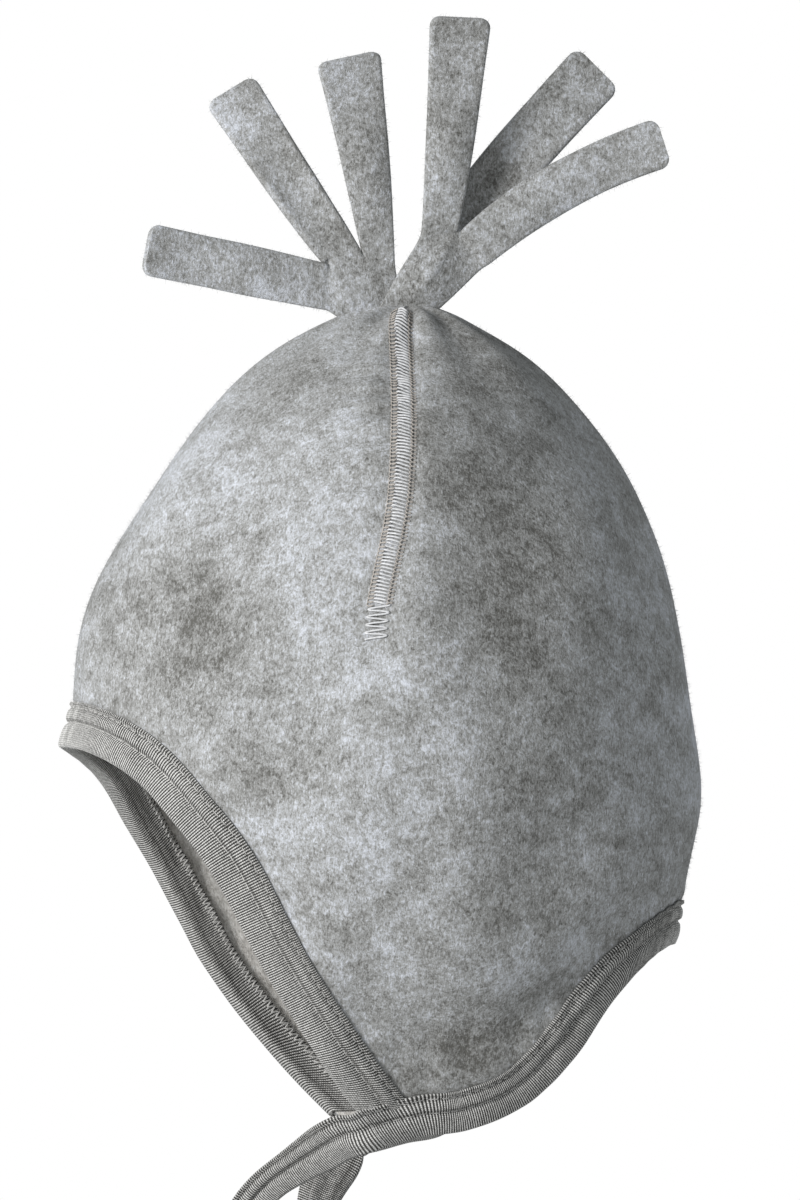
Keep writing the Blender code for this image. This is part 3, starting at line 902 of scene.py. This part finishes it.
# Darts
dart = {
    "start": 0.0022,
    "end": 0.0890,
    "ridgeHalf": 0.00175,
    "ridgeRise": 0.00062,
    "ridgePitch": 0.00085,
    "ridgeThread": 0.00027,
    "ridgeSlant": 0.0006,
    "ridgeStand": 0.3,  # how high its middle lies over the cloth, in the thread's radii
    "ridgeGrow": 0.006,
    "ridgeTaper": 0.25,
    "loopStart": 0.0016,
    "loopHalf": 0.0031,
    "loopPitch": 0.00096,
    "loopThread": 0.00018,
    "loopSlant": 0.00032,
    "loopStand": 0.5,
    "loopLift": 0.0005,
    "loopPower": 0.7,
    "openRun": 0.0085,
    "openHalf": 0.0026,
    "openPitch": 0.0018,
    "openThread": 0.00026,
    "openStand": 1.1,
    "openLift": 0.0003,
    "openPower": 0.8,
    "turnSamples": 12,
    "openSamples": 7,
}


def onDart(side, drop, aside, out):
    # A point beside a dart's middle line
    bearing = side * dartBearing(drop)
    level = unit(clothAxes(bearing, drop)[0])
    bearing, drop = stepOnCloth(bearing, drop, level * np.asarray(aside)[..., None])
    return clothPlace(bearing, drop, out)


def makeDart(name, side):
    start, shut = dart["start"], dart["end"] - dart["openRun"]
    # One thread wound over the closed edges
    turns = int((shut - start) / dart["ridgePitch"])
    wound = np.linspace(0, 2 * math.pi * turns, turns * dart["turnSamples"] + 1)
    drop = start + (shut - start) * wound / (2 * math.pi * turns)
    grown = smoothStep((drop - start) / dart["ridgeGrow"]) * dart["ridgeTaper"] + (1 - dart["ridgeTaper"])
    aside = dart["ridgeHalf"] * grown * np.cos(wound)
    out = dart["ridgeRise"] * np.sin(wound) + dart["ridgeThread"] * dart["ridgeStand"]
    ridge = onDart(side, drop + dart["ridgeSlant"] * np.cos(wound), aside, out)
    # Loops on both sides of it
    loops = []
    for edge in (-1, 1):
        count = int((shut - start) / dart["loopPitch"])
        at = np.linspace(0, count, count * dart["turnSamples"] + 1)
        drop = start + (shut - start) * at / count
        reach = 0.5 - 0.5 * np.cos(2 * math.pi * at)
        wide = (dart["loopHalf"] - dart["loopStart"]) * reach ** dart["loopPower"]
        aside = edge * (dart["loopStart"] + wide)
        slant = dart["loopSlant"] * np.sin(2 * math.pi * at) * edge
        out = dart["loopThread"] * dart["loopStand"] + dart["loopLift"] * (1 - reach) ** 2
        loops.append(onDart(side, drop + slant, aside, out))
    # Open zigzag below them
    count = int(dart["openRun"] / dart["openPitch"] * 2)
    at = np.linspace(0, count, count * dart["openSamples"] + 1)
    swing = np.cos(math.pi * at)
    swing = np.sign(swing) * np.abs(swing) ** dart["openPower"]
    drop = shut + dart["openRun"] * at / count
    out = dart["openThread"] * dart["openStand"] + dart["openLift"] * (1 - np.abs(swing) ** 2)
    openLine = onDart(side, drop, dart["openHalf"] * swing, out)
    seam = threadAlong(name + "_ridge", [ridge], dart["ridgeThread"], paleThread, "seam_thread")
    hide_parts(name)
    threadAlong(name + "_end", [openLine], dart["openThread"], paleThread, "seam_thread")
    threadAlong(name + "_loops", loops, dart["loopThread"], darkThread, "seam_thread", 4)


makeDart("dart_seam_left", 1)
makeDart("dart_seam_right", -1)
print("darts done")

# Ties
tie = {
    "width": 0.0096,
    "cordWidth": 0.0106,  # its mean width, from the wide root to the free end
    "rootWidth": 0.0150,
    "wall": 0.00025,  # left between the two layers where the tie is folded flat
    "foldRun": 0.016,
    "narrowRun": 0.034,
    "room": 0.0013,
    "lead": 0.0016,
    "turn": 0.5,
    "hem": 0.0012,
    "hemThin": 0.35,
    "foldEnd": 0.0012,  # how far the section's fold stands below the cloth's edge
    "rootGap": 0.00005,
    "rootRun": 0.006,  # over which the tie leaves the neck binding's own line
    "fineSteps": 3000,
    "pathSteps": 60,
    "left": [(0.0352, -0.0208, -0.2147), (0.0300, -0.0252, -0.2181), (0.0235, -0.0310, -0.2226),
             (0.0180, -0.0365, -0.2272), (0.0135, -0.0406, -0.2324), (0.0105, -0.0435, -0.2384),
             (0.0090, -0.0450, -0.2449), (0.0085, -0.0458, -0.2517)],
    "right": [(-0.0365, -0.0088, -0.2238), (-0.0336, -0.0120, -0.2280), (-0.0305, -0.0147, -0.2326),
              (-0.0273, -0.0167, -0.2376), (-0.0248, -0.0180, -0.2430), (-0.0231, -0.0188, -0.2488),
              (-0.0221, -0.0193, -0.2548), (-0.0217, -0.0196, -0.2622), (-0.0215, -0.0197, -0.2735)],
}


def alongRoute(route, share):
    # A smooth curve through the route's places
    at = share * (len(route) - 1)
    i = np.minimum(at.astype(int), len(route) - 2)
    t = (at - i)[:, None]
    a, b = route[np.maximum(i - 1, 0)], route[i]
    c, d = route[i + 1], route[np.minimum(i + 2, len(route) - 1)]
    second, third = 2 * a - 5 * b + 4 * c - d, 3 * b - a - 3 * c + d
    return b + ((c - a) * t + second * t**2 + third * t**3) / 2


def tieLine(side, name):
    # The tie's middle line, the run along it, the ways across and out of it at each station, how far its
    # root's middle is above the cloth's edge, and the way on from the neck binding's end
    corner = np.array(side * form["corner"])
    alongEnd = faceEdgeDirection(side)
    normal = clothAxes(corner, edgeDrop(corner))[2]
    ahead = side * unit(np.cross(normal, alongEnd))
    root = plainPlace(corner, edgeDrop(corner)) - normal * form["fleece"] / 2
    middle = (knit["band"] - 2 * knit["layer"]) / 2
    root = root + flapSway(corner, edgeDrop(corner) - middle)
    start = root + alongEnd * middle + ahead * tie["room"]
    route = np.array([start, start + ahead * tie["lead"]] + [np.array(place) for place in tie[name]])
    fine = np.linspace(0, 1, tie["fineSteps"])
    fineRun = runAlong(alongRoute(route, fine))
    run = np.linspace(0, fineRun[-1], int(fineRun[-1] / ribStep) + 1)
    share = np.interp(run, fineRun, fine)
    line = alongRoute(route, share)
    forward = unit(np.gradient(line, axis=0))
    turned = smoothStep(share / tie["turn"])[:, None]
    face = normal * (1 - turned) + np.array([side, 0, 0]) * turned
    across = unit(np.cross(forward, face))
    out = unit(np.cross(across, forward))
    return line, run, side * across, out, middle, ahead


def makeTie(name, side, route):
    # The neck binding's section carried on past its end, folded flat and cut off square
    corners = len(sectionShape)
    line, run, across, out, middle, ahead = tieLine(side, route)
    bearing = np.full(corners, side * (form["corner"] + bandEnds["step"]))
    slant = np.full(corners, slantTowards(bearing[0], faceEdgeDirection(side)))
    outSide, up, relief = sectionShape.T
    outer = relief * (outSide > 0)
    tuck = endTuck(np.zeros(corners), up / knit["band"]) * outer
    lift = np.full(corners, knit["lift"])
    root = bandPlace(bearing, slant, lift, up, outSide + tuck)
    folded = smoothStep(run / tie["foldRun"])
    # The section closes to a flat fold: the wall between its halves goes, and it narrows to the tie's width
    wall = form["fleece"] + 2 * knit["gap"]
    sectionHeight = knit["band"] + tie["foldEnd"]

    def place(column, row):
        corner = row % corners
        outs, ups, share = sectionShape[corner].T
        fold = folded[column]
        fromMiddle = outs + form["fleece"] / 2
        deep = np.abs(fromMiddle)
        half = (wall - (wall - tie["wall"]) * fold) / 2
        thick = np.maximum(deep - wall / 2, 0) + half * np.minimum(deep / (wall / 2), 1)
        narrowing = smoothStep(run[column] / tie["narrowRun"])
        width = tie["rootWidth"] + (tie["width"] - tie["rootWidth"]) * narrowing
        wide = (ups - middle) * (1 - fold * (1 - width / sectionHeight))
        ribs = ribRelief(run[column] + 0.5 * knit["ribPitch"], outs, share)
        tuckHere = endTuck(run[column], ups / knit["band"]) * share * (outs > 0)
        hem = np.clip((run[-1] - run[column]) / tie["hem"], 0, 1) ** 0.5
        thin = tie["hemThin"] + (1 - tie["hemThin"]) * hem
        thick = (np.sign(fromMiddle) * thick + ribs + tuckHere) * thin
        free = line[column] + across[column] * wide[:, None] + out[column] * thick[:, None]
        fixed = root[corner] + ahead * (tie["rootGap"] + run[column])[:, None]
        share = smoothStep(run[column] / tie["rootRun"])[:, None]
        return fixed * (1 - share) + free * share

    def pattern(column, row):
        return run[column], sectionRun[row]

    cloth = shapedGrid(name + "_knit", len(run) - 1, corners, place, closed=True, patternPlace=pattern)
    settle(cloth, rib, "binding_knit", name)
    step = max(len(line) // tie["pathSteps"], 1)
    path = np.concatenate([root.mean(axis=0)[None], line[::step], line[-1:]])
    path = [tuple(float(x) for x in spot) for spot in path]


makeTie("tie_left", 1, "left")
makeTie("tie_right", -1, "right")
print("ties done")

# Fringe
fringe = {
    "flat": (0.045, 0.072),  # each tab as cut, before its strips are slit and its foot gathered
    "round": 0.0026,
    "tipStart": 0.8,
    "start": 0.35,
    "root": 1 / 6,
    "bending": 1.8,
    "cup": 0.0016,  # how deep each strip is hollowed, the middle one the other way
    "cupPace": 1.2,
    "look": 0.02,
    "stripColumns": 12,
    "tabRows": 8,
    "stripRows": 44,
    "front": {
        "set": 0.0,
        "belly": 0.0010,  # how far its lower part swells to the left
        "foot": [(-0.0118, -0.0040), (0.0012, -0.0020)],
        "corners": [(-0.0186, 0.0004), (-0.0192, 0.0127), (-0.0090, 0.0148), (-0.0006, 0.0128)],
        "bends": [(-0.0440, 0.0115), (-0.0288, 0.0356), (-0.0092, 0.0420)],
        "tips": [(-0.0674, 0.0160), (-0.0429, 0.0582), (-0.0140, 0.0664)],
        "widths": [(0.0124, 0.0138), (0.0110, 0.0152), (0.0086, 0.0176)],
        "depths": [(0.0004, 0.0060), (0.0, -0.0090), (0.0, 0.0060)],
    },
    "back": {
        "set": 0.0016,  # how far it stands to the left of the front tab, which it laps over
        "belly": 0.0030,
        "foot": [(-0.0052, 0.0010), (0.0052, -0.0040)],
        "corners": [(0.0061, 0.0200), (0.0156, 0.0218), (0.0164, 0.0208), (0.0225, 0.0116)],
        "bends": [(0.0134, 0.0480), (0.0340, 0.0425), (0.0425, 0.0328)],
        "tips": [(0.0150, 0.0768), (0.0545, 0.0644), (0.0700, 0.0448)],
        "widths": [(0.0096, 0.0166), (0.0146, 0.0162), (0.0122, 0.0134)],
        "depths": [(0.0012, 0.0090), (-0.0034, -0.0060), (0.0012, 0.0050)],
    },
}


def curveOf(points, share):
    a, b, c = points
    control = 2 * b - (a + c) / 2
    return a * (1 - share) ** 2 + control * 2 * share * (1 - share) + c * share**2


def stripPlace(tab, strip, across, along):
    # A point of a strip, by its shares across it and along it from the slit's end
    left, right = (Vector((0, *place)) for place in tab["corners"][strip:strip + 2])
    bend, tip = (Vector((0, *tab[key][strip])) for key in ("bends", "tips"))
    line = [(left + right) / 2, bend, tip]
    here = curveOf(line, along)
    look = fringe["look"]
    ahead = curveOf(line, min(along + look, 1.0)) - curveOf(line, max(along - look, 0.0))
    aside = Vector((0, ahead.z, -ahead.y)).normalized()
    rootWidth, tipWidth = tab["widths"][strip]
    width = rootWidth + (tipWidth - rootWidth) * along
    fromTip = (1 - along) * (tip - line[0]).length
    radius = fringe["round"]
    if fromTip < radius:
        width -= 2 * (radius - math.sqrt(max(radius**2 - (radius - fromTip) ** 2, 0)))
    sheet = here + aside * (across - 0.5) * width
    share = min(along / fringe["root"], 1.0) ** fringe["start"]
    near, far = tab["depths"][strip]
    swell = math.sin(math.pi * min(along * fringe["cupPace"], 1)) ** 2
    cup = fringe["cup"] * (1 - (2 * across - 1) ** 2) * swell * (1 if strip != 1 else -1)
    lean = share * near + along ** fringe["bending"] * (far - near) + cup
    return left.lerp(right, across).lerp(sheet, share) + Vector((lean + tab["set"], 0, 0))


def fringePlace(tab, strip, column, row):
    across = column / fringe["stripColumns"] - strip
    if row <= fringe["tabRows"]:
        foot = [Vector((tab["set"], *place)) for place in tab["foot"]]
        columns, up = 3 * fringe["stripColumns"], row / fringe["tabRows"]
        belly = tab["belly"] * math.sin(math.pi * up) ** 2 * math.sin(math.pi * column / columns)
        low = foot[0].lerp(foot[1], column / columns)
        return low.lerp(stripPlace(tab, strip, across, 0.0), up) + Vector((belly, 0, 0))
    along = (row - fringe["tabRows"]) / fringe["stripRows"]
    # Rows draw together towards the rounded tip
    corner = fringe["round"] / (Vector(tab["tips"][strip]) - Vector(tab["corners"][strip])).length
    last = fringe["tipStart"]
    if along < last:
        return stripPlace(tab, strip, across, along / last * (1 - corner))
    turn = (along - last) / (1 - last) * math.pi / 2
    return stripPlace(tab, strip, across, 1 - corner * (1 - math.sin(turn)))


def makeFringe(name, tab):
    columns, rows = 3 * fringe["stripColumns"], fringe["tabRows"] + fringe["stripRows"]
    deselectAll()
    bpy.ops.mesh.primitive_grid_add(x_subdivisions=columns, y_subdivisions=rows, size=2)
    piece = bpy.context.object
    piece.name = name + "_cloth"
    mesh = piece.data

    def spot(vertex):
        return round((vertex.co.x + 1) / 2 * columns), round((vertex.co.y + 1) / 2 * rows)

    # The cuts between the strips
    cutColumns = (fringe["stripColumns"], 2 * fringe["stripColumns"])
    spots = [spot(vertex) for vertex in mesh.vertices]
    bpy.ops.object.mode_set(mode="EDIT")
    bpy.ops.mesh.select_all(action="DESELECT")
    bpy.ops.object.mode_set(mode="OBJECT")
    for edge in mesh.edges:
        (column, row), (otherColumn, otherRow) = (spots[vertex] for vertex in edge.vertices)
        onCut = column == otherColumn and column in cutColumns
        edge.select = onCut and min(row, otherRow) >= fringe["tabRows"]
    bpy.ops.object.mode_set(mode="EDIT")
    bpy.ops.mesh.select_mode(type="EDGE")
    bpy.ops.mesh.edge_split(type="EDGE")
    bpy.ops.mesh.select_mode(type="VERT")
    bpy.ops.object.mode_set(mode="OBJECT")
    strips = {}
    for face in mesh.polygons:
        for vertex in face.vertices:
            strips.setdefault(vertex, set()).add(int((face.center.x + 1) / 2 * 3))
    places = []
    for vertex in mesh.vertices:
        options = [fringePlace(tab, strip, *spot(vertex)) for strip in sorted(strips[vertex.index])]
        places.append(sum(options, Vector()) / len(options))
    mesh.vertices.foreach_set("co", [x for place in places for x in place])
    tidyMesh(piece)
    applyModifier(piece, "SOLIDIFY", thickness=form["fleece"], offset=0, use_even_offset=False)
    applyModifier(piece, "SUBSURF", levels=1, render_levels=1)
    settle(piece, fleece, "fleece", name)
    return piece


frontCloth = makeFringe("fringe_front", fringe["front"])
backCloth = makeFringe("fringe_back", fringe["back"])
print("fringe done")

# Loose fibres
fuzz = {
    "seed": 5,
    "crown": 26000,
    "strip": 1500,
    "shortest": 0.0006,
    "longest": 0.0017,
    "radius": 0.000045,
    "sunk": 0.0002,
    "upright": (0.5, 2.2),
    "flattest": 0.1,
    "raised": 1.4,
    "drops": (0.001, 0.207),
    "dartGap": 3.5,
    "jitter": 0.0003,
}
fuzzPlan = np.random.default_rng(fuzz["seed"])


def makeFuzz(name, places, normals):
    # Every fibre is a copy of one slender closed cone, leaning its own way out of the cloth
    deselectAll()
    bpy.ops.mesh.primitive_cone_add(vertices=3, radius1=1, radius2=0, depth=1, location=(0, 0, 0.5))
    cone = bpy.context.object
    shape = np.array([vertex.co + cone.location for vertex in cone.data.vertices])
    faces = np.array([[*face.vertices] for face in cone.data.polygons if len(face.vertices) == 3])
    bpy.data.objects.remove(cone)
    count = len(places)
    lean = unit(fuzzPlan.normal(size=(count, 3)) + normals * fuzzPlan.uniform(*fuzz["upright"], (count, 1)))
    flat = (lean * normals).sum(-1, keepdims=True) < fuzz["flattest"]
    lean = np.where(flat, unit(lean + fuzz["raised"] * normals), lean)
    across = unit(np.cross(lean, fuzzPlan.normal(size=(count, 3))))
    third = np.cross(lean, across)
    length = fuzzPlan.uniform(fuzz["shortest"], fuzz["longest"], (count, 1))
    aside = across[:, None] * shape[None, :, 0:1] + third[:, None] * shape[None, :, 1:2]
    verts = (places[:, None] - fuzz["sunk"] * normals[:, None] + aside * fuzz["radius"]
             + lean[:, None] * shape[None, :, 2:3] * length[:, None])
    everyFace = (faces[None] + (np.arange(count) * len(shape))[:, None, None]).reshape(-1, 3)
    mesh = bpy.data.meshes.new(name)
    mesh.from_pydata(verts.reshape(-1, 3).tolist(), [], everyFace.tolist())
    piece = bpy.data.objects.new(name, mesh)
    bpy.context.scene.collection.objects.link(piece)
    tidyMesh(piece)
    settle(piece, fleece, "fleece")


def crownFuzz():
    # Above the bindings and clear of the darts
    bearing = fuzzPlan.uniform(-180, 180, fuzz["crown"] * 2)
    drop = fuzzPlan.uniform(*fuzz["drops"], fuzz["crown"] * 2)
    size = fuzzPlan.uniform(0, 1, fuzz["crown"] * 2)
    wide = fullness(drop)
    kept = (size < wide) & (drop < edgeDrop(bearing) - knit["band"])
    dartGap = np.where(drop < form["dartEnd"], fuzz["dartGap"], 0)
    kept &= np.abs(np.abs(bearing) - dartBearing(drop)) * wide > dartGap
    bearing, drop = bearing[kept][:fuzz["crown"]], drop[kept][:fuzz["crown"]]
    makeFuzz("crown_fuzz", clothPlace(bearing, drop), clothAxes(bearing, drop)[2])


def fringeFuzz(piece, count):
    centres = np.array([face.center for face in piece.data.polygons])
    normals = np.array([face.normal for face in piece.data.polygons])
    areas = np.array([face.area for face in piece.data.polygons])
    picked = fuzzPlan.choice(len(areas), count, p=areas / areas.sum())
    jitter = fuzzPlan.normal(size=(count, 3)) * fuzz["jitter"]
    jitter -= (jitter * normals[picked]).sum(-1, keepdims=True) * normals[picked]
    makeFuzz(piece.name.replace("cloth", "fuzz"), centres[picked] + jitter, normals[picked])


crownFuzz()
for cloth in (frontCloth, backCloth):
    fringeFuzz(cloth, 3 * fuzz["strip"])
print("fuzz done")

# Floor and light
studio = {
    "floor": -0.30,
    "floorHalf": 1.1,
    "floorColour": (0.9, 0.9, 0.9, 1),
    "floorRoughness": 0.8,
    "white": 1.0,
    "ambient": 0.37,
    "ambientTint": (0.93, 0.98, 1.0, 1),
    "key": (-1.22, 1.20, 0.42, 31.0, 0.45),  # right, back to the camera, up, watts, size
    "fill": (-0.7, 1.6, 0.05, 1.5, 1.0),
}


def aimedLight(name, right, back, up, watts, size):
    toRight, toEye = viewAxes()
    data = bpy.data.lights.new(name, "AREA")
    data.energy = watts
    data.shape = "DISK"
    data.size = size
    light = bpy.data.objects.new(name, data)
    middle = Vector((0, 0, camera["middle"]))
    light.location = middle + toRight * right + toEye * back + Vector((0, 0, up))
    light.rotation_euler = (light.location - middle).to_track_quat("Z", "Y").to_euler()
    bpy.context.scene.collection.objects.link(light)


def makeStudio():
    deselectAll()
    bpy.ops.mesh.primitive_plane_add(size=2 * studio["floorHalf"], location=(0, 0, studio["floor"]))
    floor = bpy.context.object
    floor.name = "floor"
    paint = Finish("floor").finish(studio["floorColour"], roughness=studio["floorRoughness"])
    floor.data.materials.append(paint)
    world = bpy.data.worlds.new("studio")
    bpy.context.scene.world = world
    world.use_nodes = True
    nodes, links = world.node_tree.nodes, world.node_tree.links
    soft = nodes["Background"]
    soft.inputs["Color"].default_value = studio["ambientTint"]
    soft.inputs["Strength"].default_value = studio["ambient"]
    seen = nodes.new("ShaderNodeBackground")
    seen.inputs["Strength"].default_value = studio["white"]
    seen.inputs["Color"].default_value = (1, 1, 1, 1)
    path = nodes.new("ShaderNodeLightPath")
    mix = nodes.new("ShaderNodeMixShader")
    links.new(path.outputs["Is Camera Ray"], mix.inputs["Fac"])
    links.new(soft.outputs["Background"], mix.inputs[1])
    links.new(seen.outputs["Background"], mix.inputs[2])
    links.new(mix.outputs["Shader"], nodes["World Output"].inputs["Surface"])
    aimedLight("key", *studio["key"])
    aimedLight("fill", *studio["fill"])


makeStudio()
bpy.context.scene.view_settings.view_transform = "Standard"
print("studio ready")
